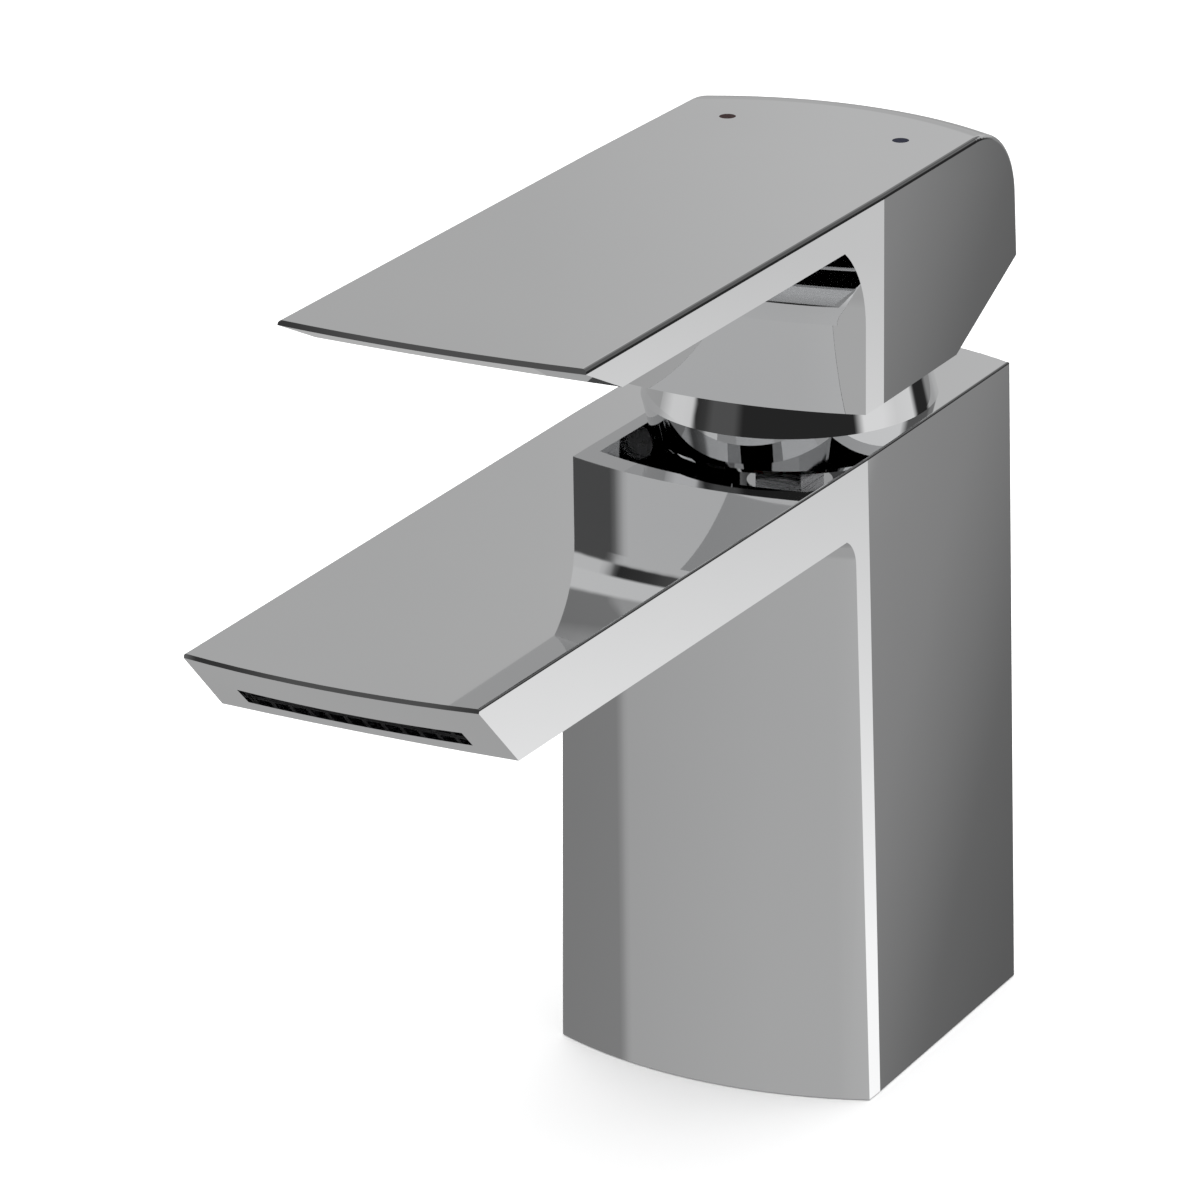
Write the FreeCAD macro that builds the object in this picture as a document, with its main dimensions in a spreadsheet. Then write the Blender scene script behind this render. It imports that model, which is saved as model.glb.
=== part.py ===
import FreeCAD, Part
import math
import os
import re
import Sketcher

# Basin mixer: origin on the deck at the centre of the column, +Z up, spout towards -Y.

SIZES = {
    # walls of the body round the cartridge and how its sides taper, seen from above
    "body_wall": 5.25,
    "tip_taper": 2.8,
    "back_taper": 1.0,
    "tip_reach": 140.9,
    "front_wall": 6.1,
    "hip_setback": 4.6,
    "back_margin": 8.1,
    "tip_bow": 2.0,
    "tip_foot_bow": 0.6,
    "cut_margin": 3.0,
    "front_bow": 4.8,
    "back_bow": 5.0,
    # body heights and how far the column flares out at the deck
    "body_height": 105.3,
    "spout_thickness": 11.2,
    "tip_undercut": 10.8,
    "side_flare": 2.3,
    "spout_cove_depth": 2.6,
    "spout_cove_height": 4.6,
    "soft_edge": 0.35,
    "tip_land": 0.65,
    "land_slope": 0.27,
    # underside of the column
    "recess_inset": 0.5,
    "recess_depth": 34.0,
    "gasket_wall": 2.9,
    "gasket_width": 2.6,
    "gasket_depth": 2.0,
    "gasket_clearance": 0.1,
    "inlet_spacing": 19.0,
    "inlet_thread_radius": 4.5,
    "inlet_thread_depth": 14.0,
    "inlet_drill_radius": 3.5,
    "inlet_roof": 6.0,
    "stud_radius": 3.4,
    "stud_depth": 20.0,
    "stud_setback": 11.5,
    # waterway from the cartridge seat to the tip
    "passage_drop": 13.0,
    "passage_height": 5.0,
    "passage_width": 8.0,
    "riser_width": 16.0,
    "riser_depth": 4.4,
    "riser_wall": 2.2,
    "channel_height": 4.5,
    "channel_roof": 3.0,
    "channel_room": 1.4,
    "channel_end": 11.0,
    # outlet slot in the undercut tip face
    "slot_side": 5.6,
    "slot_height": 4.2,
    "slot_drop": 10.3,
    "slot_margin": 4.0,
    "former_depth": 4.0,
    "former_recess": 0.6,
    "former_wall": 0.5,
    "former_rib": 0.7,
    "former_gaps": 12,
    "former_clearance": 0.05,
    "former_seal_depth": 1.2,
    # cartridge
    "bore_depth": 41.3,
    "cartridge_radius": 17.5,
    "cartridge_clearance": 0.2,
    "cartridge_base_height": 8.0,
    "disc_recess": 3.0,
    "disc_rim": 3.0,
    "disc_clearance": 0.2,
    "fixed_disc_height": 3.6,
    "moving_disc_room": 6.0,
    "moving_disc_height": 4.0,
    "disc_gap": 0.05,
    "mixing_width": 13.0,
    "mixing_front": 0.6,
    "mixing_back": 6.2,
    "mixing_depth": 2.0,
    "port_spacing": 10.6,
    "port_setback": 3.8,
    "inlet_port_radius": 2.4,
    "outlet_port_setback": 3.8,
    "outlet_port_radius": 2.7,
    "port_depth": 9.0,
    "seal_section": 0.8,
    "seal_clearance": 0.05,
    "locator_radius": 1.8,
    "locator_spacing": 22.0,
    "locator_setback": 8.0,
    "locator_length": 3.0,
    "locator_clearance": 0.1,
    "housing_wall": 2.0,
    "housing_height": 25.5,
    "housing_neck": 2.5,
    "housing_step": 1.1,
    "roof_thickness": 2.8,
    "guide_clearance": 0.3,
    "guide_shoulder": 2.4,
    "guide_foot_gap": 1.35,
    "guide_lift": 0.2,
    "carrier_height": 10.55,
    "carrier_flat_cut": 2.2,
    "carrier_clearance": 0.15,
    "runway_clearance": 1.8,
    "pivot_rise": 5.0,
    "pin_radius": 2.0,
    "pin_inset": 2.2,
    "pin_clearance": 0.04,
    "spindle_size": 8.0,
    "spindle_clearance": 0.3,
    "spindle_lift": 0.5,
    "spindle_end_gap": 0.5,
    "spindle_neck_radius": 2.0,
    "ball_radius": 3.0,
    "ball_depth": 1.2,
    "ball_clearance": 0.15,
    "slot_front_room": 3.4,
    "slot_back_room": 6.2,
    "stop_ring_height": 2.4,
    "stop_ring_width": 3.2,
    "stop_block_height": 2.0,
    "stop_block_angle": 10.0,
    "stop_tab_angle": 16.0,
    "stop_tab_height": 2.05,
    "stop_clearance": 0.15,
    "swivel_limit": 45.0,
    "swivel_slack": 1.0,
    # nut, collar and its o-ring
    "nut_wall": 2.3,
    "nut_clearance": 0.05,
    "nut_step": 1.6,
    "nut_rise": 3.7,
    "nut_notch_width": 5.0,
    "nut_notch_depth": 1.2,
    "nut_notches": 6,
    "collar_side": 3.2,
    "collar_taper": 1.35,
    "collar_height": 6.5,
    "collar_wall": 1.6,
    "collar_opening": 15.4,
    "collar_edge": 0.8,
    "collar_bore_clearance": 0.4,
    "ring_rise": 1.7,
    "ring_section": 0.65,
    # handle
    "handle_gap": 0.8,
    "handle_height": 33.2,
    "handle_overhang": 0.4,
    "handle_back_taper": 1.0,
    "handle_back_overhang": 0.4,
    "handle_back_bow": 5.2,
    "handle_back_lean": 4.0,
    "handle_front_setback": 3.6,
    "handle_front_bow": 4.2,
    "handle_hip_setback": 6.1,
    "lever_thickness": 5.7,
    "lever_taper": 0.8,
    "lever_reach": 112.3,
    "lever_land": 0.8,
    "lever_bow": 1.4,
    "lever_undercut": 12.0,
    "lever_cove_depth": 6.6,
    "lever_cove_height": 13.5,
    "crown_radius": 13.5,
    "handle_edge": 0.75,
    "heel_start": 7.8,
    "heel_angle": 24.4,
    "handle_wall": 2.6,
    "handle_front_wall": 4.0,
    "handle_roof": 6.0,
    "boss_wall": 1.14,
    "boss_rise": 7.4,
    "socket_depth": 18.5,
    "socket_clearance": 0.05,
    "screw_rise": 17.9,
    "screw_radius": 2.5,
    "screw_length": 5.0,
    "screw_key": 2.5,
    "screw_key_depth": 2.5,
    "cover_radius": 3.1,
    "cover_thickness": 2.0,
    "cover_clearance": 0.05,
    "index_spacing": 30.2,
    "index_setback": 8.5,
    "index_radius": 1.3,
    "index_depth": 0.6,
    "index_clearance": 0.02,
}

# Sizes, heights and places that follow from the ones above and that several pieces share
DERIVED = {
    # radii of the cartridge and of what holds it
    "bore_radius": "cartridge_radius + cartridge_clearance",
    "nut_radius": "bore_radius + nut_wall",
    "nut_crown_radius": "nut_radius - nut_step",
    "collar_bore": "nut_crown_radius + collar_bore_clearance",
    "collar_radius": "collar_bore + collar_side",
    "disc_radius": "cartridge_radius - disc_rim",
    "moving_disc_radius": "cartridge_radius - moving_disc_room",
    "housing_bore": "cartridge_radius - housing_wall",
    "shoulder_radius": "cartridge_radius - housing_step",
    "guide_radius": "housing_bore - guide_clearance",
    "guide_neck_radius": "guide_radius - guide_shoulder",
    "roof_bore": "guide_neck_radius + guide_clearance",
    "stop_ring_radius": "roof_bore + stop_ring_width",
    "stop_tab_radius": "stop_ring_radius - guide_clearance",
    "carrier_flats": "2 * moving_disc_radius - carrier_flat_cut",
    "recess_radius": "cartridge_radius - recess_inset",
    "gasket_radius": "recess_radius + gasket_wall + gasket_width / 2",
    # outlines seen from above
    "hip_width": "2 * (nut_radius + nut_clearance + body_wall)",
    "back_width": "hip_width - back_taper",
    "tip_width": "hip_width - tip_taper",
    "riser_back": "nut_radius + riser_wall",
    "riser_front": "riser_back + riser_depth",
    "front_reach": "riser_front + front_wall - front_bow",
    "hip_reach": "front_reach - hip_setback",
    "back_reach": "nut_radius + back_margin",
    "slot_width": "tip_width - 2 * slot_side",
    "slot_cut_depth": "former_recess + former_depth + former_seal_depth",
    "former_half_width": "slot_width / 2 - former_clearance",
    "former_half_height": "slot_height / 2 - former_clearance",
    "channel_width": "slot_width + channel_room",
    "handle_hip_width": "hip_width + handle_overhang",
    "handle_back_width": "handle_hip_width - handle_back_taper",
    "lever_tip_width": "handle_hip_width - lever_taper",
    "handle_back_reach": "back_reach + handle_back_overhang",
    "handle_back_end": "handle_back_reach + handle_back_bow + handle_cover_lean",
    "handle_cover_lean": "(handle_height - screw_rise) * tan(handle_back_lean)",
    "handle_front_reach": "front_reach - handle_front_setback",
    "handle_hip_reach": "handle_front_reach - handle_hip_setback",
    # heights
    "spout_under": "body_height - spout_thickness",
    "channel_top": "body_height - channel_roof",
    "seat_height": "body_height - bore_depth",
    "inlet_drill_top": "seat_height - inlet_roof",
    "passage_top": "seat_height - passage_drop",
    "base_top": "seat_height + cartridge_base_height",
    "disc_seat": "base_top - disc_recess",
    "disc_top": "disc_seat + fixed_disc_height",
    "moving_seat": "disc_top + disc_gap",
    "carrier_seat": "moving_seat + moving_disc_height",
    "carrier_top": "carrier_seat + carrier_height",
    "guide_foot": "carrier_seat + guide_foot_gap",
    "guide_floor": "carrier_top + runway_clearance",
    "pivot_height": "guide_floor + pivot_rise",
    "ball_height": "carrier_top - ball_depth",
    "housing_shoulder": "base_top + housing_height",
    "housing_top": "housing_shoulder + housing_neck",
    "roof_under": "housing_top - roof_thickness",
    "tab_under": "housing_top + stop_ring_height + stop_clearance",
    "guide_top": "tab_under + stop_tab_height",
    "nut_top": "body_height + nut_rise",
    "ring_groove_height": "body_height + ring_rise",
    "collar_top": "body_height + collar_height",
    "handle_bottom": "collar_top + handle_gap",
    "handle_top": "handle_bottom + handle_height",
    "lever_under": "handle_top - lever_thickness",
    "cavity_top": "handle_top - handle_roof",
    "boss_bottom": "handle_bottom + boss_rise",
    "screw_height": "handle_bottom + screw_rise",
    "spindle_foot": "guide_floor + spindle_lift",
    "spindle_top": "boss_bottom + socket_depth - spindle_end_gap",
    # the square spindle in the handle's boss
    "spindle_half": "spindle_size / 2",
    "socket_half": "spindle_half + socket_clearance",
    "boss_radius": "spindle_half * sqrt(2) + boss_wall",
    "guide_slot_front": "spindle_half + slot_front_room",
    "guide_slot_back": "spindle_half + slot_back_room",
    "pin_length": "2 * (guide_radius - pin_inset)",
}

# Faces that meet at less than this many degrees count as one smooth face
SHARP_ANGLE = 30
# Degrees that the space under spout and lever is turned through, past both sides
HOLLOW_TURN = 90
# Sides of the key socket in the grub screw
KEY_SIDES = 6

doc = FreeCAD.newDocument("basin_mixer")
dims = doc.addObject("Spreadsheet::Sheet", "Dims")
for row, (size_name, size_value) in enumerate(SIZES.items(), start=1):
    dims.set(f"A{row}", size_name)
    dims.set(f"B{row}", str(size_value))
    dims.setAlias(f"B{row}", size_name)
doc.recompute()


def bound(text):
    """The expression text with each size pointing at its cell and each derived size written out."""
    def written(word):
        name = word.group()
        if name in DERIVED:
            return f"({bound(DERIVED[name])})"
        return f"Dims.{name}" if name in SIZES else name
    return re.sub(r"[a-z][a-z_]*", written, text)


def value(text):
    """The number that an expression stands for now."""
    return float(dims.evalExpression(bound(text)))


def minus(text):
    return f"-({text})"


# Sketch helpers

def origin_plane(body, role):
    return next(item for item in body.Origin.OriginFeatures if item.Role == role)


def new_body(label):
    body = doc.addObject("PartDesign::Body", label)
    body.Label = label
    return body


def new_sketch(body, name, plane="XY_Plane", level="0"):
    """A sketch on one of the body's own planes, lifted along that plane's normal."""
    sketch = body.newObject("Sketcher::SketchObject", name)
    sketch.AttachmentSupport = [(origin_plane(body, plane), "")]
    sketch.MapMode = "FlatFace"
    sketch.setExpression("AttachmentOffset.Base.z", bound(level))
    return sketch


def tip_sketch(body, name, depth):
    """A sketch parallel to the undercut tip face, depth below it, centred on the outlet slot."""
    sketch = body.newObject("Sketcher::SketchObject", name)
    sketch.AttachmentSupport = [(origin_plane(body, "XY_Plane"), "")]
    sketch.MapMode = "FlatFace"
    tilted = FreeCAD.Rotation(FreeCAD.Vector(1, 0, 0), 1)
    sketch.AttachmentOffset = FreeCAD.Placement(FreeCAD.Vector(), tilted)
    slope = "atan(spout_thickness / tip_undercut)"
    sketch.setExpression("AttachmentOffset.Rotation.Angle", bound(f"180 deg - {slope}"))
    sketch.setExpression(
        "AttachmentOffset.Base.y",
        bound(f"-tip_reach + slot_drop * cos({slope}) + ({depth}) * sin({slope})"))
    sketch.setExpression(
        "AttachmentOffset.Base.z",
        bound(f"body_height - slot_drop * sin({slope}) + ({depth}) * cos({slope})"))
    return sketch


def fix_number(sketch, kind, geometry, point, text):
    """Hold one coordinate of a point at an expression."""
    if text == "0":
        axis = -2 if kind == "DistanceX" else -1
        sketch.addConstraint(Sketcher.Constraint("PointOnObject", geometry, point, axis))
        return
    number = sketch.addConstraint(Sketcher.Constraint(kind, geometry, point, value(text)))
    sketch.setExpression(f"Constraints[{number}]", bound(text))


def outline(sketch, corners, bows=None):
    """A closed outline, drawn anticlockwise; bows gives the outward rise of an edge that is an arc."""
    bows = bows or {}
    points = [FreeCAD.Vector(value(x), value(y), 0) for x, y in corners]
    ends = []
    for number, start in enumerate(points):
        end = points[(number + 1) % len(points)]
        if number not in bows:
            geometry = sketch.addGeometry(Part.LineSegment(start, end), False)
            ends.append((geometry, 1, 2))
            continue
        along = (end - start).normalize()
        outward = FreeCAD.Vector(along.y, -along.x, 0)
        middle = (start + end) * 0.5 + outward * value(bows[number])
        geometry = sketch.addGeometry(Part.Arc(start, middle, end), False)
        first_gap, last_gap = [sketch.getPoint(geometry, point).distanceToPoint(start) for point in (1, 2)]
        ends.append((geometry, 2, 1) if first_gap > last_gap else (geometry, 1, 2))
    for number, (geometry, first, last) in enumerate(ends):
        following, opening, _ = ends[(number + 1) % len(ends)]
        sketch.addConstraint(Sketcher.Constraint("Coincident", geometry, last, following, opening))
        fix_number(sketch, "DistanceX", geometry, first, corners[number][0])
        fix_number(sketch, "DistanceY", geometry, first, corners[number][1])
    for number, rise in bows.items():
        (x1, y1), (x2, y2) = corners[number], corners[(number + 1) % len(corners)]
        half_squared = f"((({x2}) - ({x1}))^2 + (({y2}) - ({y1}))^2) / 4"
        radius = f"({half_squared} + ({rise})^2) / (2 * abs({rise}))"
        held = sketch.addConstraint(Sketcher.Constraint("Radius", ends[number][0], value(radius)))
        sketch.setExpression(f"Constraints[{held}]", bound(radius))


def circle(sketch, x, y, radius):
    centre = FreeCAD.Vector(value(x), value(y), 0)
    geometry = sketch.addGeometry(Part.Circle(centre, FreeCAD.Vector(0, 0, 1), value(radius)), False)
    fix_number(sketch, "DistanceX", geometry, 3, x)
    fix_number(sketch, "DistanceY", geometry, 3, y)
    held = sketch.addConstraint(Sketcher.Constraint("Radius", geometry, value(radius)))
    sketch.setExpression(f"Constraints[{held}]", bound(radius))


def rectangle(sketch, left, right, low, high):
    outline(sketch, [(left, low), (right, low), (right, high), (left, high)])


# Feature helpers

def feature(body, kind, name, sketch, length=None, reverse=False, midplane=False):
    item = body.newObject(f"PartDesign::{kind}", name)
    item.Profile = sketch
    if length is not None:
        item.setExpression("Length", bound(length))
    item.Reversed = reverse
    if midplane:
        item.SideType = "Symmetric"
    doc.recompute()
    return item


def turned(body, kind, name, corners, bows=None):
    """A profile of radius and height corners, turned about the vertical axis."""
    sketch = new_sketch(body, f"{name}_profile", "XZ_Plane")
    outline(sketch, corners, bows)
    item = body.newObject(f"PartDesign::{kind}", name)
    item.Profile = sketch
    item.ReferenceAxis = (sketch, ["V_Axis"])
    item.Angle = 360
    doc.recompute()
    return item


def ring_corners(inner, outer, low, high):
    return [(inner, low), (outer, low), (outer, high), (inner, high)]


def edges_where(item, test):
    """Names of the edges whose middle passes the test."""
    names = []
    for number, edge in enumerate(item.Shape.Edges, start=1):
        middle = edge.valueAt((edge.FirstParameter + edge.LastParameter) / 2)
        if test(edge, middle):
            names.append(f"Edge{number}")
    return names


def rounded(body, name, item, radius, test):
    names = edges_where(item, test)
    if not names:
        raise ValueError(f"{name} found no edges")
    result = body.newObject("PartDesign::Fillet", name)
    result.Base = (item, names)
    result.setExpression("Radius", bound(radius))
    doc.recompute()
    return result


def is_sharp(shape, edge):
    """True where the two faces beside an edge meet at a clear outward angle."""
    faces = shape.ancestorsOfType(edge, Part.Face)
    if len(faces) != 2:
        return False
    middle = edge.valueAt((edge.FirstParameter + edge.LastParameter) / 2)
    normals = [face.normalAt(*face.Surface.parameter(middle)) for face in faces]
    return normals[0].getAngle(normals[1]) > math.radians(SHARP_ANGLE)


def faces_where(item, test):
    """Names of the faces whose middle normal passes the test."""
    names = []
    for number, face in enumerate(item.Shape.Faces, start=1):
        if test(face.normalAt(*face.Surface.parameter(face.CenterOfMass))):
            names.append(f"Face{number}")
    return names


def near(first, second, room=0.01):
    return abs(first - second) < room


# Ports through the cartridge: hot and cold inlets at the front, outlet behind them

PORTS = [
    (minus("port_spacing / 2"), minus("port_setback"), "inlet_port_radius"),
    ("port_spacing / 2", minus("port_setback"), "inlet_port_radius"),
    ("0", "outlet_port_setback", "outlet_port_radius"),
]


def side_at(reach):
    """Half width of the spout and column at a distance in front of the axis."""
    spread = "(hip_width - tip_width) / 2 / (tip_reach - hip_reach)"
    return f"(tip_width / 2 + {spread} * (tip_reach - ({reach})))"


def lever_side_at(reach):
    spread = "(handle_hip_width - lever_tip_width) / 2 / (lever_reach - handle_hip_reach)"
    return f"(lever_tip_width / 2 + {spread} * (lever_reach - ({reach})))"


def mirrored(right_side):
    """Corners of the right side, front to back, followed by their mirror images."""
    return right_side + [(minus(x), y) for x, y in reversed(right_side)]


# Body casting: the column and the slab spout, with the cartridge bore and the waterway

def body_plan(sketch):
    """Outline of spout and column together, a little longer than the finished spout."""
    blank_reach = "(tip_reach + cut_margin)"
    corners = mirrored([
        (side_at(blank_reach), minus(blank_reach)),
        ("hip_width / 2", minus("hip_reach")),
        ("back_width / 2", "back_reach"),
    ])
    outline(sketch, corners, {2: "back_bow"})


def space_ahead(sketch, half_width, reach, bow):
    """Everything in front of a line across the body that is bowed forward."""
    radius = f"((({half_width})^2 + ({bow})^2) / (2 * ({bow})))"
    wide = f"(({half_width}) + cut_margin)"
    rise = f"({radius} - sqrt({radius}^2 - {wide}^2))"
    back = f"-(({reach}) + ({bow}) - {rise})"
    beyond = "-2 * tip_reach"
    corners = [(minus(wide), beyond), (wide, beyond), (wide, back), (minus(wide), back)]
    outline(sketch, corners, {2: minus(rise)})


def tip_slope(body, top, under, half_width, reach, setback, bow, land):
    """Cut the tip to a slope below a narrow upright land, bowed above and nearly straight at the foot."""
    share = f"(({land}) / (({top}) - ({under})))"
    shoulder = f"({reach} - {setback} * {share})"
    shoulder_bow = f"({bow} - ({bow} - tip_foot_bow) * {share})"
    levels = (
        ("slope_foot", under, f"{reach} - {setback}", "tip_foot_bow"),
        ("slope_shoulder", f"{top} - {land}", shoulder, shoulder_bow),
        ("slope_head", top, f"{shoulder} - {land} * land_slope", shoulder_bow),
        ("slope_over", f"{top} + cut_margin", f"{shoulder} - {land} * land_slope", shoulder_bow),
    )
    sections = []
    for name, level, forward, rise in levels:
        sketch = new_sketch(body, name, level=level)
        space_ahead(sketch, half_width, forward, rise)
        sections.append(sketch)
    item = body.newObject("PartDesign::SubtractiveLoft", "tip_slope")
    item.Profile = sections[0]
    item.Sections = sections[1:]
    item.Ruled = True
    doc.recompute()


def leaned(body, name, blank, test, angle):
    """Lean upright faces out towards the foot, keeping the top outline."""
    item = body.newObject("PartDesign::Draft", name)
    item.Base = (blank, faces_where(blank, test))
    item.NeutralPlane = (blank, faces_where(blank, lambda normal: normal.z > abs(normal.x) + abs(normal.y)))
    item.setExpression("Angle", bound(angle))
    doc.recompute()
    return item


def hollow_ahead(body, name, under, half_width, reach, bow, depth, height):
    """Clear the space under a slab, in front of a bowed face that curves forward into the slab."""
    bow_radius = f"((({half_width})^2 + ({bow})^2) / (2 * ({bow})))"
    face = f"(-({reach}) - ({bow}))"
    chord_squared = f"(({depth})^2 + ({height})^2)"
    cove_radius = f"({chord_squared} / (2 * ({depth})))"
    beyond = "-2 * tip_reach"
    below = minus("cut_margin")
    sketch = new_sketch(body, f"{name}_profile", "YZ_Plane")
    outline(sketch, [
        (beyond, below),
        (face, below),
        (face, f"{under} - {height}"),
        (f"{face} - {depth}", under),
        (beyond, under),
    ], {2: f"{cove_radius} - sqrt({cove_radius}^2 - {chord_squared} / 4)"})
    centre = f"{face} + {bow_radius}"
    low = FreeCAD.Vector(value(centre), 0, 0)
    high = FreeCAD.Vector(value(centre), value(under), 0)
    axis = sketch.addGeometry(Part.LineSegment(low, high), True)
    sketch.addConstraint(Sketcher.Constraint("Vertical", axis))
    fix_number(sketch, "DistanceX", axis, 1, centre)
    fix_number(sketch, "DistanceY", axis, 1, "0")
    fix_number(sketch, "DistanceY", axis, 2, under)
    item = body.newObject("PartDesign::Groove", name)
    item.Profile = sketch
    item.ReferenceAxis = (sketch, ["Axis0"])
    item.Angle = HOLLOW_TURN
    item.Midplane = True
    doc.recompute()


def make_body_casting():
    body = new_body("body_casting")
    plan = new_sketch(body, "plan")
    body_plan(plan)
    blank = feature(body, "Pad", "column_and_spout", plan, "body_height")
    flared = leaned(
        body, "flared_sides", blank, lambda normal: abs(normal.x) > abs(normal.y) + abs(normal.z),
        "atan(side_flare / body_height)")
    rounded(
        body, "soft_edges", flared, "soft_edge",
        lambda edge, middle: near(middle.z, value("body_height")) and middle.y > -value("tip_reach"))
    tip_slope(body, "body_height", "spout_under", "tip_width / 2",
              "tip_reach", "tip_undercut", "tip_bow", "tip_land")
    hollow_ahead(body, "space_under_spout", "spout_under", "hip_width / 2", "front_reach", "front_bow",
                 "spout_cove_depth", "spout_cove_height")
    cut_bores(body)
    cut_waterway(body)
    return body


def cut_bores(body):
    turned(body, "Groove", "cartridge_bore", [
        ("0", "seat_height"),
        ("bore_radius", "seat_height"),
        ("bore_radius", "housing_shoulder"),
        ("nut_radius + nut_clearance", "housing_shoulder"),
        ("nut_radius + nut_clearance", "body_height + nut_clearance"),
        ("0", "body_height + nut_clearance"),
    ])
    turned(body, "Groove", "hose_recess", [
        ("0", minus("gasket_clearance")),
        ("recess_radius", minus("gasket_clearance")),
        ("recess_radius", "recess_depth"),
        ("0", "recess_depth"),
    ])
    turned(body, "Groove", "gasket_groove", ring_corners(
        "gasket_radius - gasket_width / 2", "gasket_radius + gasket_width / 2",
        minus("gasket_clearance"), "gasket_depth"))
    threads = new_sketch(body, "inlet_threads", level="recess_depth")
    drills = new_sketch(body, "inlet_drills", level="recess_depth")
    for side in ("inlet_spacing / 2", minus("inlet_spacing / 2")):
        circle(threads, side, minus("port_setback"), "inlet_thread_radius")
        circle(drills, side, minus("port_setback"), "inlet_drill_radius")
    feature(body, "Pocket", "inlet_thread_holes", threads, "inlet_thread_depth", reverse=True)
    feature(body, "Pocket", "inlet_drillings", drills, "inlet_drill_top - recess_depth", reverse=True)
    stud = new_sketch(body, "stud_circle", level="recess_depth")
    circle(stud, "0", "stud_setback", "stud_radius")
    feature(body, "Pocket", "stud_hole", stud, "stud_depth", reverse=True)
    locators = new_sketch(body, "locator_circles", level="seat_height")
    for side in ("locator_spacing / 2", minus("locator_spacing / 2")):
        circle(locators, side, "locator_setback", "locator_radius + locator_clearance")
    feature(body, "Pocket", "locator_holes", locators, "locator_length + locator_clearance")


def cut_waterway(body):
    ports = new_sketch(body, "inlet_port_circles", level="seat_height")
    for x, y, radius in PORTS[:2]:
        circle(ports, x, y, radius)
    feature(body, "Pocket", "inlet_ports", ports, "port_depth")
    outlet = new_sketch(body, "outlet_port_circle", level="seat_height")
    circle(outlet, *PORTS[2])
    feature(body, "Pocket", "outlet_port", outlet, "seat_height - passage_top + passage_height / 2")
    passage = new_sketch(body, "passage_outline", level="passage_top")
    rectangle(passage, minus("passage_width / 2"), "passage_width / 2",
              minus("riser_front"), "outlet_port_setback + outlet_port_radius")
    feature(body, "Pocket", "passage", passage, "passage_height")
    riser = new_sketch(body, "riser_outline", level="channel_top")
    rectangle(riser, minus("riser_width / 2"), "riser_width / 2", minus("riser_front"), minus("riser_back"))
    feature(body, "Pocket", "riser", riser, "channel_top - passage_top + passage_height")
    channel = new_sketch(body, "channel_outline", level="channel_top")
    rectangle(channel, minus("channel_width / 2"), "channel_width / 2",
              minus("tip_reach - channel_end"), minus("riser_back"))
    feature(body, "Pocket", "channel", channel, "channel_height")
    slot = tip_sketch(body, "slot_outline", minus("slot_margin"))
    rectangle(slot, minus("slot_width / 2"), "slot_width / 2", minus("slot_height / 2"), "slot_height / 2")
    feature(body, "Pocket", "outlet_slot", slot, "slot_margin + slot_cut_depth")


def former_rectangle(sketch, inset="0"):
    wide = f"(former_half_width - {inset})"
    high = f"(former_half_height - {inset})"
    rectangle(sketch, minus(wide), wide, minus(high), high)


def make_former():
    """Comb of ribs in the outlet slot that lays the water out as a sheet."""
    body = new_body("stream_former")
    block = tip_sketch(body, "former_outline", "former_recess")
    former_rectangle(block)
    feature(body, "Pad", "former_block", block, "former_depth", reverse=True)
    pitch = "((2 * former_half_width - 2 * former_wall + former_rib) / former_gaps)"
    gaps = tip_sketch(body, "former_gap_outlines", "former_recess")
    for number in range(round(value("former_gaps"))):
        left = f"-former_half_width + former_wall + {number} * {pitch}"
        rectangle(gaps, left, f"{left} + {pitch} - former_rib",
                  "-former_half_height + former_wall", "former_half_height - former_wall")
    feature(body, "Pocket", "former_gaps_cut", gaps, "former_depth")
    return body


def make_former_seal():
    body = new_body("former_seal")
    frame = tip_sketch(body, "seal_outline", "former_recess + former_depth")
    former_rectangle(frame)
    former_rectangle(frame, "former_wall")
    feature(body, "Pad", "seal_frame", frame, "former_seal_depth", reverse=True)
    return body


def make_base_gasket():
    body = new_body("base_gasket")
    half = "(gasket_width / 2 - gasket_clearance)"
    turned(body, "Revolution", "gasket_ring", ring_corners(
        f"gasket_radius - {half}", f"gasket_radius + {half}", "0", "gasket_depth"))
    return body


# Cartridge, from the bottom up

def ring_seals(label, level):
    """One o-ring round each port, lying in a seat cut at the given height."""
    rings = []
    for number, (x, y, radius) in enumerate(PORTS):
        ring = doc.addObject("Part::Torus", f"{label}_{number}")
        ring.setExpression("Radius1", bound(f"{radius} + seal_clearance + seal_section"))
        ring.setExpression("Radius2", bound("seal_section"))
        ring.setExpression("Placement.Base.x", bound(x))
        ring.setExpression("Placement.Base.y", bound(y))
        ring.setExpression("Placement.Base.z", bound(level))
        rings.append(ring)
    group = doc.addObject("Part::Compound", label)
    group.Label = label
    group.Links = rings
    doc.recompute()
    return group


def port_circles(sketch, extra="0"):
    for x, y, radius in PORTS:
        circle(sketch, x, y, f"{radius} + {extra}")


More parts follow.
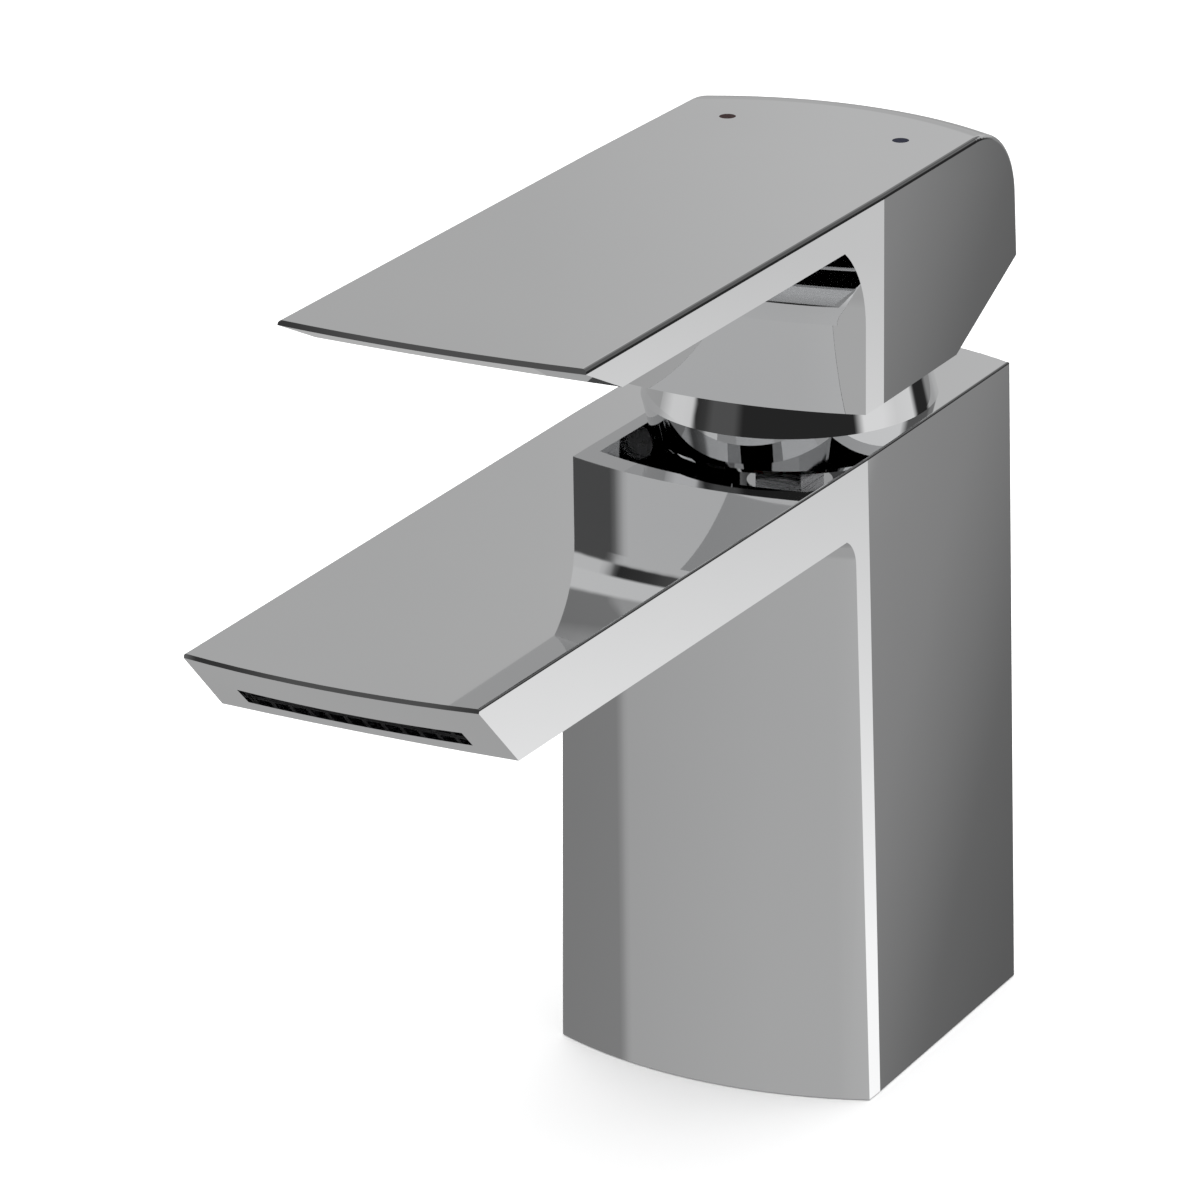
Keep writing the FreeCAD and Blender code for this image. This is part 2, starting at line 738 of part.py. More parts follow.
def make_cartridge_base():
    body = new_body("cartridge_base")
    turned(body, "Revolution", "base_disc", [
        ("0", "seat_height"),
        ("cartridge_radius", "seat_height"),
        ("cartridge_radius", "base_top"),
        ("disc_radius + disc_clearance", "base_top"),
        ("disc_radius + disc_clearance", "disc_seat"),
        ("0", "disc_seat"),
    ])
    seat_extra = "2 * (seal_clearance + seal_section)"
    ports = new_sketch(body, "port_circles", level="disc_seat")
    port_circles(ports)
    feature(body, "Pocket", "ports", ports, "disc_seat - seat_height")
    for name, level, upward in (("lower", "seat_height", True), ("upper", "disc_seat", False)):
        seats = new_sketch(body, f"{name}_seal_circles", level=level)
        port_circles(seats, seat_extra)
        feature(body, "Pocket", f"{name}_seal_seats", seats, "2 * seal_section", reverse=upward)
    pins = new_sketch(body, "locator_circles", level="seat_height")
    for side in ("locator_spacing / 2", minus("locator_spacing / 2")):
        circle(pins, side, "locator_setback", "locator_radius")
    feature(body, "Pad", "locators", pins, "locator_length", reverse=True)
    return body


def make_fixed_disc():
    body = new_body("fixed_disc")
    blank = new_sketch(body, "disc_outline", level="disc_seat")
    circle(blank, "0", "0", "disc_radius")
    port_circles(blank)
    feature(body, "Pad", "disc", blank, "fixed_disc_height")
    return body


def make_moving_disc():
    body = new_body("moving_disc")
    blank = new_sketch(body, "disc_outline", level="moving_seat")
    circle(blank, "0", "0", "moving_disc_radius")
    feature(body, "Pad", "disc", blank, "moving_disc_height")
    hollow = new_sketch(body, "mixing_outline", level="moving_seat")
    rectangle(hollow, minus("mixing_width / 2"), "mixing_width / 2", minus("mixing_front"), "mixing_back")
    feature(body, "Pocket", "mixing_chamber", hollow, "mixing_depth", reverse=True)
    return body


def make_disc_carrier():
    body = new_body("disc_carrier")
    blank = new_sketch(body, "carrier_outline", level="carrier_seat")
    circle(blank, "0", "0", "moving_disc_radius")
    feature(body, "Pad", "carrier", blank, "carrier_top - carrier_seat")
    flats = new_sketch(body, "carrier_flat_outlines", level="carrier_top")
    for side in (1, -1):
        inner, outer = f"{side} * carrier_flats / 2", f"{side} * 2 * moving_disc_radius"
        left, right = (inner, outer) if side > 0 else (outer, inner)
        rectangle(flats, left, right, minus("2 * moving_disc_radius"), "2 * moving_disc_radius")
    feature(body, "Pocket", "carrier_flat_cuts", flats, "carrier_top - carrier_seat")
    socket = new_sketch(body, "ball_socket_outline", level="carrier_top")
    circle(socket, "0", "0", "ball_radius + ball_clearance")
    feature(body, "Pocket", "ball_socket", socket,
            "carrier_top - ball_height + ball_radius + spindle_clearance")
    return body


def make_housing():
    body = new_body("cartridge_housing")
    turned(body, "Revolution", "housing_shell", [
        ("housing_bore", "base_top"),
        ("cartridge_radius", "base_top"),
        ("cartridge_radius", "housing_shoulder"),
        ("shoulder_radius", "housing_shoulder"),
        ("shoulder_radius", "housing_top"),
        ("roof_bore", "housing_top"),
        ("roof_bore", "roof_under"),
        ("housing_bore", "roof_under"),
    ])
    return body


def sector(sketch, inner, outer, start, sweep):
    """A four-sided piece of a ring, its angles in degrees from the front."""
    corners = []
    finish = f"({start}) + {sweep}"
    for radius, angle in ((inner, start), (outer, start), (outer, finish), (inner, finish)):
        corners.append((f"({radius}) * sin({angle})", f"-({radius}) * cos({angle})"))
    outline(sketch, corners)


def make_spindle_guide():
    body = new_body("spindle_guide")
    turned(body, "Revolution", "guide_drum", [
        ("0", "guide_foot"),
        ("guide_radius", "guide_foot"),
        ("guide_radius", "roof_under - guide_lift"),
        ("guide_neck_radius", "roof_under - guide_lift"),
        ("guide_neck_radius", "guide_top"),
        ("0", "guide_top"),
    ])
    tab = new_sketch(body, "stop_tab_outline", level="guide_top")
    tab_root = "guide_neck_radius - housing_step"
    sector(tab, tab_root, "stop_tab_radius", "-stop_tab_angle / 2", "stop_tab_angle")
    feature(body, "Pad", "stop_tab", tab, "stop_tab_height", reverse=True)
    runway = new_sketch(body, "runway_outline", level="guide_foot")
    half = "(carrier_flats / 2 + carrier_clearance)"
    rectangle(runway, minus(half), half, minus("2 * guide_neck_radius"), "2 * guide_neck_radius")
    feature(body, "Pocket", "runway", runway, "guide_floor - guide_foot", reverse=True)
    slot = new_sketch(body, "spindle_slot_outline", level="guide_top")
    side = "(spindle_half + spindle_clearance)"
    rectangle(slot, minus(side), side, minus("guide_slot_front"), "guide_slot_back")
    feature(body, "Pocket", "spindle_slot", slot, "guide_top - guide_floor")
    hole = new_sketch(body, "pin_circle", "YZ_Plane")
    circle(hole, "0", "pivot_height", "pin_radius")
    feature(body, "Pocket", "pin_hole", hole, "4 * cartridge_radius", midplane=True)
    return body


def make_spindle_pin():
    body = new_body("spindle_pin")
    end = new_sketch(body, "pin_circle", "YZ_Plane")
    circle(end, "0", "pivot_height", "pin_radius")
    feature(body, "Pad", "pin", end, "pin_length", midplane=True)
    return body


def make_spindle():
    body = new_body("spindle")
    neck_rise = "sqrt(ball_radius^2 - spindle_neck_radius^2)"
    chord_squared = f"((ball_radius - spindle_neck_radius)^2 + ({neck_rise})^2)"
    turned(body, "Revolution", "ball_and_neck", [
        ("0", "ball_height - ball_radius"),
        ("ball_radius", "ball_height"),
        ("spindle_neck_radius", f"ball_height + {neck_rise}"),
        ("spindle_neck_radius", "spindle_foot"),
        ("0", "spindle_foot"),
    ], {
        0: "ball_radius * (1 - sqrt(2) / 2)",
        1: f"ball_radius - sqrt(ball_radius^2 - {chord_squared} / 4)",
    })
    shank = new_sketch(body, "shank_outline", level="spindle_foot")
    rectangle(shank, minus("spindle_half"), "spindle_half", minus("spindle_half"), "spindle_half")
    feature(body, "Pad", "shank", shank, "spindle_top - spindle_foot")
    hole = new_sketch(body, "pin_circle", "YZ_Plane")
    circle(hole, "0", "pivot_height", "pin_radius + pin_clearance")
    feature(body, "Pocket", "pin_hole", hole, "2 * spindle_size", midplane=True)
    return body


def make_temperature_stop():
    body = new_body("temperature_stop")
    turned(body, "Revolution", "stop_ring", ring_corners(
        "roof_bore", "stop_ring_radius", "housing_top", "housing_top + stop_ring_height"))
    blocks = new_sketch(body, "stop_block_outlines", level="housing_top + stop_ring_height / 2")
    reach = "(swivel_limit + swivel_slack + stop_tab_angle / 2)"
    for start in (reach, f"(-{reach} - stop_block_angle)"):
        sector(blocks, "roof_bore + stop_clearance", "stop_ring_radius - stop_clearance",
               start, "stop_block_angle")
    feature(body, "Pad", "stop_blocks", blocks, "stop_ring_height / 2 + stop_block_height")
    return body


def make_cartridge_nut():
    body = new_body("cartridge_nut")
    bore = "(stop_ring_radius + guide_clearance)"
    groove = "(collar_bore - 2 * ring_section)"
    half = "(ring_section + seal_clearance)"
    turned(body, "Revolution", "nut_ring", [
        (bore, "housing_shoulder"),
        ("nut_radius", "housing_shoulder"),
        ("nut_radius", "body_height"),
        ("nut_crown_radius", "body_height"),
        ("nut_crown_radius", f"ring_groove_height - {half}"),
        (groove, f"ring_groove_height - {half}"),
        (groove, f"ring_groove_height + {half}"),
        ("nut_crown_radius", f"ring_groove_height + {half}"),
        ("nut_crown_radius", "nut_top"),
        (bore, "nut_top"),
    ])
    notch = new_sketch(body, "notch_outline", level="nut_top")
    rectangle(notch, minus("nut_notch_width / 2"), "nut_notch_width / 2",
              f"{bore} - housing_wall", "nut_radius")
    cut = feature(body, "Pocket", "notch", notch, "nut_notch_depth")
    pattern = body.newObject("PartDesign::PolarPattern", "notches")
    pattern.Originals = [cut]
    pattern.Axis = (notch, ["N_Axis"])
    pattern.Angle = 360
    pattern.setExpression("Occurrences", bound("nut_notches"))
    body.Tip = pattern
    doc.recompute()
    return body


def make_collar():
    body = new_body("collar")
    turned(body, "Revolution", "collar_sleeve", [
        ("collar_bore", "body_height"),
        ("collar_radius + collar_taper", "body_height"),
        ("collar_radius", "collar_top - collar_edge"),
        ("collar_radius - collar_edge", "collar_top"),
        ("collar_opening", "collar_top"),
        ("collar_opening", "collar_top - collar_wall"),
        ("collar_bore", "collar_top - collar_wall"),
    ])
    return body


def make_collar_ring():
    ring = doc.addObject("Part::Torus", "collar_o_ring")
    ring.Label = "collar_o_ring"
    ring.setExpression("Radius1", bound("collar_bore - ring_section"))
    ring.setExpression("Radius2", bound("ring_section"))
    ring.setExpression("Placement.Base.z", bound("ring_groove_height"))
    doc.recompute()
    return ring


# Handle: hollow block with the long flat lever

def handle_plan(sketch):
    """Outline of lever and block together, a little longer than the finished lever."""
    blank_reach = "(lever_reach + cut_margin)"
    corners = mirrored([
        (lever_side_at(blank_reach), minus(blank_reach)),
        ("handle_hip_width / 2", minus("handle_hip_reach")),
        ("handle_back_width / 2", "handle_back_reach"),
    ])
    outline(sketch, corners, {2: "handle_back_bow"})


def block_plan(sketch, inset, front_inset):
    corners = mirrored([
        (f"{lever_side_at('handle_front_reach')} - {inset}", f"-handle_front_reach + {front_inset}"),
        (f"handle_hip_width / 2 - {inset}", minus("handle_hip_reach")),
        (f"handle_back_width / 2 - {inset}", f"handle_back_reach - {inset}"),
    ])
    outline(sketch, corners, {2: "handle_back_bow", 5: "handle_front_bow"})


def make_handle():
    body = new_body("handle")
    plan = new_sketch(body, "handle_outline", level="handle_bottom")
    handle_plan(plan)
    blank = feature(body, "Pad", "blank", plan, "handle_height")
    back = leaned(
        body, "leaning_back", blank, lambda normal: normal.y > abs(normal.x) + abs(normal.z),
        "handle_back_lean")
    crown = rounded(
        body, "crown", back, "crown_radius",
        lambda edge, middle: near(middle.z, value("handle_top")) and middle.y > value("handle_back_reach"))
    rounded(
        body, "soft_edges", crown, "handle_edge",
        lambda edge, middle: is_sharp(crown.Shape, edge) and middle.z > value("handle_bottom + handle_edge")
        and middle.y > -value("lever_reach"))
    tip_slope(body, "handle_top", "lever_under", "lever_tip_width / 2",
              "lever_reach", "lever_undercut", "lever_bow", "lever_land")
    hollow_ahead(body, "space_under_lever", "lever_under", "handle_hip_width / 2", "handle_front_reach",
                 "handle_front_bow", "lever_cove_depth", "lever_cove_height")
    cut_heel(body)
    cut_inside(body)
    cut_index_seats(body)
    return body


def cut_heel(body):
    """Slope under the back of the block that lets the lever tilt up."""
    side = new_sketch(body, "heel_outline", "YZ_Plane")
    beyond = "(handle_back_end + handle_wall)"
    rise = f"(({beyond} - heel_start) * tan(heel_angle))"
    outline(side, [
        ("heel_start", "handle_bottom"),
        (beyond, "handle_bottom"),
        (beyond, f"handle_bottom + {rise}"),
    ])
    return feature(body, "Pocket", "heel", side, "2 * handle_hip_width", midplane=True)


def cut_inside(body):
    cavity = new_sketch(body, "cavity_outline", level="handle_bottom")
    block_plan(cavity, "handle_wall", "handle_front_wall")
    feature(body, "Pocket", "cavity", cavity, "cavity_top - handle_bottom", reverse=True)
    boss = new_sketch(body, "boss_circle", level="boss_bottom")
    circle(boss, "0", "0", "boss_radius")
    feature(body, "Pad", "boss", boss, "cavity_top - boss_bottom")
    socket = new_sketch(body, "socket_outline", level="boss_bottom")
    rectangle(socket, minus("socket_half"), "socket_half", minus("socket_half"), "socket_half")
    feature(body, "Pocket", "socket", socket, "socket_depth", reverse=True)
    hole = new_sketch(body, "screw_circle", "XZ_Plane")
    circle(hole, "0", "screw_height", "screw_radius")
    feature(body, "Pocket", "screw_hole", hole, "boss_radius + handle_wall")
    access = new_sketch(body, "access_circle", "XZ_Plane", level="-boss_radius - handle_wall")
    circle(access, "0", "screw_height", "cover_radius + cover_clearance")
    feature(body, "Pocket", "access_hole", access, "handle_back_end")


def cut_index_seats(body):
    seats = new_sketch(body, "index_circles", level="handle_top")
    for side in ("index_spacing / 2", minus("index_spacing / 2")):
        circle(seats, side, "index_setback", "index_radius + index_clearance")
    feature(body, "Pocket", "index_seats", seats, "index_depth")


def make_index(label, side):
    body = new_body(label)
    dot = new_sketch(body, "dot_circle", level="handle_top - index_depth")
    circle(dot, side, "index_setback", "index_radius")
    feature(body, "Pad", "dot", dot, "index_depth")
    return body


def make_grub_screw():
    """Screw from the back of the boss onto the flat of the spindle."""
    body = new_body("grub_screw")
    end = new_sketch(body, "screw_circle", "XZ_Plane", level=minus("socket_half"))
    circle(end, "0", "screw_height", "screw_radius - cover_clearance")
    feature(body, "Pad", "screw", end, "screw_length", reverse=True)
    key = new_sketch(body, "key_outline", "XZ_Plane", level="-socket_half - screw_length")
    corners = []
    corner_radius = f"screw_key / 2 / cos({180 / KEY_SIDES})"
    for number in range(KEY_SIDES):
        angle = number * 360 / KEY_SIDES
        x = f"{corner_radius} * cos({angle})"
        corners.append((x, f"screw_height + {corner_radius} * sin({angle})"))
    outline(key, corners)
    feature(body, "Pocket", "key_socket", key, "screw_key_depth", reverse=True)
    return body


def make_screw_cover():
    body = new_body("screw_cover")
    disc = new_sketch(body, "cover_circle", "XZ_Plane", level="-handle_back_end + cover_thickness")
    circle(disc, "0", "screw_height", "cover_radius")
    feature(body, "Pad", "cover", disc, "cover_thickness", reverse=True)
    return body


def make_all():
    parts = [
        make_body_casting(),
        make_former(),
        make_former_seal(),
        make_base_gasket(),
        make_cartridge_base(),
        ring_seals("port_seals", "seat_height + seal_section"),
        ring_seals("disc_seals", "disc_seat - seal_section"),
        make_fixed_disc(),
        make_moving_disc(),
        make_disc_carrier(),
        make_housing(),
        make_spindle_guide(),
        make_spindle_pin(),
        make_spindle(),
        make_temperature_stop(),
        make_cartridge_nut(),
        make_collar(),
        make_collar_ring(),
        make_handle(),
        make_index("hot_index", minus("index_spacing / 2")),
        make_index("cold_index", "index_spacing / 2"),
        make_grub_screw(),
        make_screw_cover(),
    ]
    doc.recompute()
    return parts


def check_and_write(parts):
    for item in doc.Objects:
        if "Invalid" in item.State or "Error" in item.State:
            raise RuntimeError(f"{item.Label} failed: {item.State}")
    for part in parts:
        if part.Shape.isNull() or not part.Shape.isValid():
            raise RuntimeError(f"{part.Label} has no valid shape")
    os.makedirs("parts", exist_ok=True)
    for part in parts:
        part.Shape.exportStep(f"parts/{part.Label}.step")
        print(part.Label, len(part.Shape.Solids), round(part.Shape.Volume, 1))


check_and_write(make_all())
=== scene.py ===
import math

import bpy
from mathutils import Matrix, Vector

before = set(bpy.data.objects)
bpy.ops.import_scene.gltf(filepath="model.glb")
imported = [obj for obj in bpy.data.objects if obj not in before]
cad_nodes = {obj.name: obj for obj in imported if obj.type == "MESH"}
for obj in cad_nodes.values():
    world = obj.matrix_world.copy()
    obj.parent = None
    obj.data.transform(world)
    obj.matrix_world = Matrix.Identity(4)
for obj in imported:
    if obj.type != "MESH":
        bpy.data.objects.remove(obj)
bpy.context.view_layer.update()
scene = bpy.context.scene
scene.view_settings.view_transform = "Standard"


# Node helpers

# Most of a noise lies between these two of its values
NOISE_LOW = 0.3
NOISE_HIGH = 0.7
# Depth of a full relief, in metres
RELIEF_DEPTH = 0.0002


class Tree:
    """Adds and links shader nodes of one material or of the world."""

    def __init__(self, owner):
        owner.use_nodes = True
        self.tree = owner.node_tree
        self.tree.nodes.clear()

    def add(self, kind, inputs=None, **settings):
        node = self.tree.nodes.new(kind)
        for name, setting in settings.items():
            setattr(node, name, setting)
        for name, source in (inputs or {}).items():
            self.feed(node, name, source)
        return node

    def feed(self, node, name, source):
        """Link a socket to an input, or set the input to a constant."""
        socket = node.inputs[name]
        if isinstance(source, bpy.types.NodeSocket):
            self.tree.links.new(source, socket)
        else:
            socket.default_value = source

    def math(self, operation, first, second=0.0):
        return self.add("ShaderNodeMath", {0: first, 1: second}, operation=operation).outputs[0]

    def scaled(self, coordinates, scale):
        node = self.add("ShaderNodeMapping", {"Vector": coordinates, "Scale": scale})
        return node.outputs["Vector"]

    def noise(self, coordinates, scale, detail=3.0):
        node = self.add("ShaderNodeTexNoise", {"Vector": coordinates, "Scale": scale, "Detail": detail})
        return node.outputs["Fac"]

    def spread(self, noise, low, high):
        """A number that goes from low to high with a noise."""
        node = self.add("ShaderNodeMapRange", {"Value": noise, "From Min": NOISE_LOW,
                                               "From Max": NOISE_HIGH, "To Min": low, "To Max": high})
        return node.outputs["Result"]

    def blend(self, noise, dark, light):
        """A colour that goes from dark to light with a noise."""
        return self.ramp(noise, [(NOISE_LOW, dark), (NOISE_HIGH, light)])

    def ramp(self, factor, stops):
        """A colour ramp; each stop is a place from 0 to 1 and a grey or a colour."""
        node = self.add("ShaderNodeValToRGB", {"Fac": factor})
        elements = node.color_ramp.elements
        while len(elements) < len(stops):
            elements.new(1.0)
        for element, (place, tone) in zip(elements, stops):
            element.position = place
            element.color = (*tone, 1.0) if isinstance(tone, tuple) else (tone, tone, tone, 1.0)
        return node.outputs["Color"]

    def relief(self, height, strength):
        node = self.add("ShaderNodeBump", {"Height": height, "Strength": strength,
                                           "Distance": RELIEF_DEPTH})
        return node.outputs["Normal"]


# Finishes

def new_material(name):
    material = bpy.data.materials.new(name)
    tree = Tree(material)
    shader = tree.add("ShaderNodeBsdfPrincipled")
    tree.add("ShaderNodeOutputMaterial", {"Surface": shader.outputs["BSDF"]})
    place = tree.add("ShaderNodeTexCoord").outputs["Object"]
    return material, tree, shader, place


def moulded(name, dark, light, roughness, grain, relief, coat=0.0, specular=0.5):
    """Plastic, rubber, ceramic or enamel with a fine grain of so many spots a metre."""
    material, tree, shader, place = new_material(name)
    patches_to_grain = 0.15
    broad = tree.noise(place, grain * patches_to_grain)
    fine = tree.noise(place, grain, detail=6.0)
    tree.feed(shader, "Base Color", tree.blend(broad, dark, light))
    tree.feed(shader, "Roughness", tree.spread(fine, *roughness))
    tree.feed(shader, "Coat Weight", coat)
    tree.feed(shader, "Specular IOR Level", specular)
    tree.feed(shader, "Normal", tree.relief(fine, relief))
    return material


def turned(name, dark, light, roughness):
    """Turned metal with fine lines round the vertical axis."""
    material, tree, shader, place = new_material(name)
    across, lines = 60.0, 2500.0
    streaks = tree.noise(tree.scaled(place, (across, across, lines)), 1.0, detail=4.0)
    tree.feed(shader, "Base Color", tree.blend(streaks, dark, light))
    tree.feed(shader, "Metallic", 1.0)
    tree.feed(shader, "Roughness", tree.spread(streaks, *roughness))
    tree.feed(shader, "Normal", tree.relief(streaks, 0.15))
    return material


def polished(name, dark, light, roughness):
    """Bright plating: a faint cast in the colour, thin wiping marks in the gloss and an even polish."""
    material, tree, shader, place = new_material(name)
    patches, along, across = 14.0, 25.0, 90.0
    broad = tree.noise(place, patches)
    marks = tree.noise(tree.scaled(place, (across, along, across)), 1.0, detail=5.0)
    tree.feed(shader, "Base Color", tree.blend(broad, dark, light))
    tree.feed(shader, "Metallic", 1.0)
    tree.feed(shader, "Roughness", tree.spread(marks, *roughness))
    tree.feed(shader, "Normal", tree.relief(broad, 0.02))
    return material


PLASTIC_GRAIN = 900.0
RUBBER_GRAIN = 1200.0
CERAMIC_GRAIN = 1500.0
SATIN = (0.35, 0.5)
MATT = (0.5, 0.65)

chrome = polished("polished_chrome", (0.77, 0.774, 0.78), (0.79, 0.793, 0.797), (0.012, 0.026))
brass = turned("turned_brass", (0.62, 0.44, 0.18), (0.72, 0.54, 0.26), (0.22, 0.38))
steel = turned("turned_steel", (0.5, 0.5, 0.51), (0.6, 0.6, 0.61), (0.2, 0.34))
white_plastic = moulded(
    "white_acetal", (0.78, 0.78, 0.75), (0.85, 0.85, 0.83), SATIN, PLASTIC_GRAIN, 0.1)
black_plastic = moulded(
    "black_moulding", (0.006, 0.006, 0.007), (0.01, 0.01, 0.011), MATT, PLASTIC_GRAIN, 0.1, specular=0.15)
red_plastic = moulded(
    "red_moulding", (0.42, 0.03, 0.025), (0.5, 0.045, 0.035), SATIN, PLASTIC_GRAIN, 0.1)
grey_plastic = moulded(
    "grey_plug", (0.36, 0.36, 0.37), (0.42, 0.42, 0.43), (0.25, 0.4), PLASTIC_GRAIN, 0.08, coat=0.2)
ceramic = moulded(
    "lapped_ceramic", (0.82, 0.79, 0.74), (0.88, 0.86, 0.82), (0.12, 0.22), CERAMIC_GRAIN, 0.03)
rubber = moulded(
    "black_rubber", (0.012, 0.012, 0.012), (0.022, 0.022, 0.022), (0.6, 0.8), RUBBER_GRAIN, 0.2)
hot_enamel = moulded(
    "dark_red_enamel", (0.02, 0.01, 0.01), (0.024, 0.012, 0.012), MATT, CERAMIC_GRAIN, 0.05, specular=0.1)
cold_enamel = moulded(
    "dark_blue_enamel", (0.01, 0.011, 0.02), (0.012, 0.013, 0.024), MATT, CERAMIC_GRAIN, 0.05, specular=0.1)

FINISHES = {
    "body_casting": chrome,
    "collar": chrome,
    "handle": chrome,
    "stream_former": black_plastic,
    "former_seal": rubber,
    "base_gasket": rubber,
    "port_seals": rubber,
    "disc_seals": rubber,
    "collar_o_ring": rubber,
    "cartridge_base": white_plastic,
    "cartridge_housing": white_plastic,
    "spindle_guide": white_plastic,
    "disc_carrier": white_plastic,
    "temperature_stop": red_plastic,
    "fixed_disc": ceramic,
    "moving_disc": ceramic,
    "cartridge_nut": brass,
    "spindle": steel,
    "spindle_pin": steel,
    "grub_screw": steel,
    "hot_index": hot_enamel,
    "cold_index": cold_enamel,
    "screw_cover": grey_plastic,
}
for node_name, finish in FINISHES.items():
    for slot in cad_nodes[node_name].material_slots:
        slot.material = finish


# Floor

def make_floor():
    """A pale floor just under the base. It isn't mirrored in the plating."""
    mesh = bpy.data.meshes.new("floor")
    half = 6.0
    level = -0.0002
    corners = [(-half, -half, level), (half, -half, level), (half, half, level), (-half, half, level)]
    mesh.from_pydata(corners, [], [(0, 1, 2, 3)])
    floor = bpy.data.objects.new("floor", mesh)
    scene.collection.objects.link(floor)
    material, tree, shader, place = new_material("pale_floor")
    patches = 3.0
    tree.feed(shader, "Base Color", tree.blend(tree.noise(place, patches), 0.9, 0.92))
    tree.feed(shader, "Roughness", 0.9)
    mesh.materials.append(material)
    floor.visible_glossy = False


# Studio: soft boxes and dark flags as a map of brightness by direction, in degrees

# Brightness of a ramp's full white, and the level of the whole studio
FULL_WHITE = 2.0
STUDIO_LEVEL = 0.765


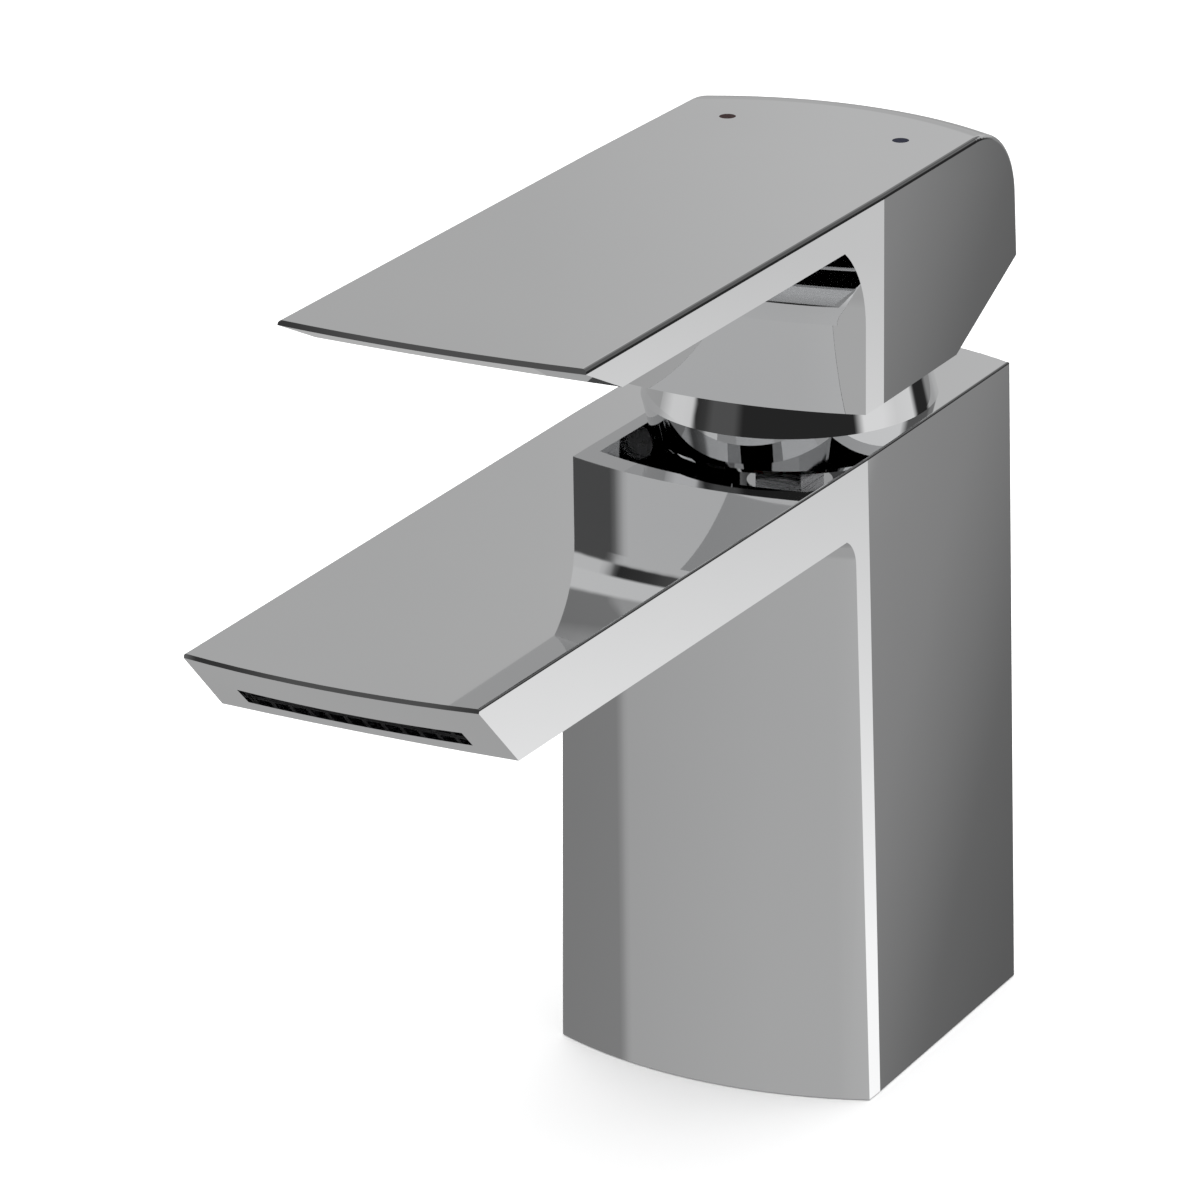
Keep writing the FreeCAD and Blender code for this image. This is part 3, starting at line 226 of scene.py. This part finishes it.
def make_studio():
    world = bpy.data.worlds.new("studio")
    scene.world = world
    tree = Tree(world)
    direction = tree.add("ShaderNodeTexCoord").outputs["Generated"]
    parts = tree.add("ShaderNodeSeparateXYZ", {"Vector": direction}).outputs
    azimuth = tree.math("DEGREES", tree.math("ARCTAN2", parts["Y"], parts["X"]))
    height = tree.math("DEGREES", tree.math("ARCSINE", parts["Z"]))

    def window(angle, low, high):
        """A function that makes ramps over an angle, with stops from low to high."""
        node = tree.add("ShaderNodeMapRange", {"Value": angle, "From Min": low, "From Max": high})
        place = node.outputs["Result"]

        def over(stops):
            return tree.ramp(place, [((stop - low) / (high - low), tone) for stop, tone in stops])
        return over

    def tones(stops):
        return [(angle, tone / FULL_WHITE) for angle, tone in stops]

    def even(tone):
        grey = tone / FULL_WHITE
        return (grey, grey, grey, 1.0)

    def mix(factor, first, second):
        node = tree.add("ShaderNodeMixRGB", {"Fac": factor, "Color1": first, "Color2": second})
        return node.outputs["Color"]

    around = window(azimuth, -180.0, 180.0)
    upward = window(height, -90.0, 90.0)

    # Bands of brightness round the part, from the floor up
    low = around(tones([
        (-180, 0.29), (-143, 0.32), (-140, 0.54), (-98, 0.6), (-78, 0.61), (-45, 0.95), (112, 0.6),
        (180, 0.5)]))
    dim = around(tones([
        (-180, 0.6), (-165, 0.95), (-120, 0.95), (-100, 0.7), (-45, 0.8), (45, 1.0), (51, 0.03),
        (66, 0.03), (72, 0.35), (104, 0.42), (111, 0.5), (180, 0.5)]))
    level = around(tones([
        (-180, 0.6), (-165, 0.9), (-144, 0.9), (-140, 0.04), (-131, 0.06), (-124, 0.12), (-106, 0.12),
        (-99, 0.03), (-12, 0.03), (-4, 1.1), (45, 1.1), (50, 0.03), (65, 0.03), (70, 0.6), (180, 0.6)]))
    front = [
        (-180, 0.65), (-162, 0.65), (-156, 0.12), (-144, 0.12), (-140, 0.78), (-95, 0.78), (-45, 0.95),
        (-20, 1.1), (45, 1.1)]
    back = [(111, 0.74), (116.5, 0.72), (120, 0.61), (123, 0.595), (140, 0.6), (180, 0.65)]
    high = around(tones(front + [(50, 0.16), (67, 0.16), (72, 0.7)] + back))
    upper = around(tones(front + [(54, 0.16), (84, 0.16), (89, 0.3), (106, 0.3)] + back))

    # A soft box low on the right, which gets brighter downwards
    box = upward(tones([(-24, 1.55), (-22.6, 1.5), (-20.2, 1.15), (-19.2, 1.05), (-17.4, 0.86)]))
    low = mix(around([(42, 0.0), (52, 1.0), (72, 1.0), (80, 0.0)]), low, box)

    # A flag before it, whose edge leans. Its tones change within a degree, so its window is narrow.
    upright_at, lean = -20.7, 0.28
    leaning = tree.math("MULTIPLY", tree.math("SUBTRACT", height, upright_at), lean)
    beside = window(tree.math("SUBTRACT", azimuth, leaning), 60.0, 68.0)
    flag = beside(tones([
        (63.4, 0.38), (64.1, 0.34), (64.6, 0.27), (65.0, 0.2), (65.6, 0.16), (67.0, 0.15)]))
    flagged = tree.math("MULTIPLY", beside([(62.9, 0.0), (63.3, 1.0)]), around([(72, 1.0), (80, 0.0)]))
    low = mix(flagged, low, flag)

    # Each band takes over from the one below it between two heights
    bands = [
        (-50, -38, low),
        (-16.5, -13.5, dim),
        (0, 2, level),
        (11, 13, high),
        (20.5, 22.5, upper),
        (38, 50, even(1.1)),
    ]
    light = even(0.54)
    for start, end, band in bands:
        light = mix(upward([(start, 0.0), (end, 1.0)]), light, band)
    sky = tree.add("ShaderNodeBackground", {"Color": light, "Strength": FULL_WHITE * STUDIO_LEVEL})
    tree.add("ShaderNodeOutputWorld", {"Surface": sky.outputs["Background"]})


def make_lamp(name, spot, aim, size, watts):
    """A large soft lamp that lights the floor and the matt pieces, but isn't mirrored in the plating."""
    data = bpy.data.lights.new(name, "AREA")
    data.size = size
    data.energy = watts
    lamp = bpy.data.objects.new(name, data)
    lamp.location = spot
    lamp.rotation_euler = (Vector(aim) - Vector(spot)).to_track_quat("-Z", "Y").to_euler()
    lamp.visible_glossy = False
    scene.collection.objects.link(lamp)


# Camera

def make_camera():
    """The photograph's viewpoint, found by fitting the edges of the body and the handle."""
    turn, rise, roll = math.radians(28.98), math.radians(20.6), math.radians(-0.84)
    target = Vector((-0.02342, -0.02, 0.07298))
    distance = 1.01842
    back = Vector((math.sin(turn) * math.cos(rise), -math.cos(turn) * math.cos(rise), math.sin(rise)))
    right = Vector((math.cos(turn), math.sin(turn), 0.0))
    up = back.cross(right)
    right, up = (math.cos(roll) * right + math.sin(roll) * up, math.cos(roll) * up - math.sin(roll) * right)
    data = bpy.data.cameras.new("camera")
    data.sensor_width = 36.0
    data.lens = 193.8
    data.clip_start = 0.05
    camera = bpy.data.objects.new("camera", data)
    axes = Matrix((right, up, back)).transposed().to_4x4()
    camera.matrix_world = Matrix.Translation(target + back * distance) @ axes
    scene.collection.objects.link(camera)
    scene.camera = camera


make_floor()
make_studio()
make_lamp("overhead", spot=(0.0, -0.2, 2.2), aim=(0.0, 0.0, 0.0), size=3.0, watts=80.0)
make_camera()
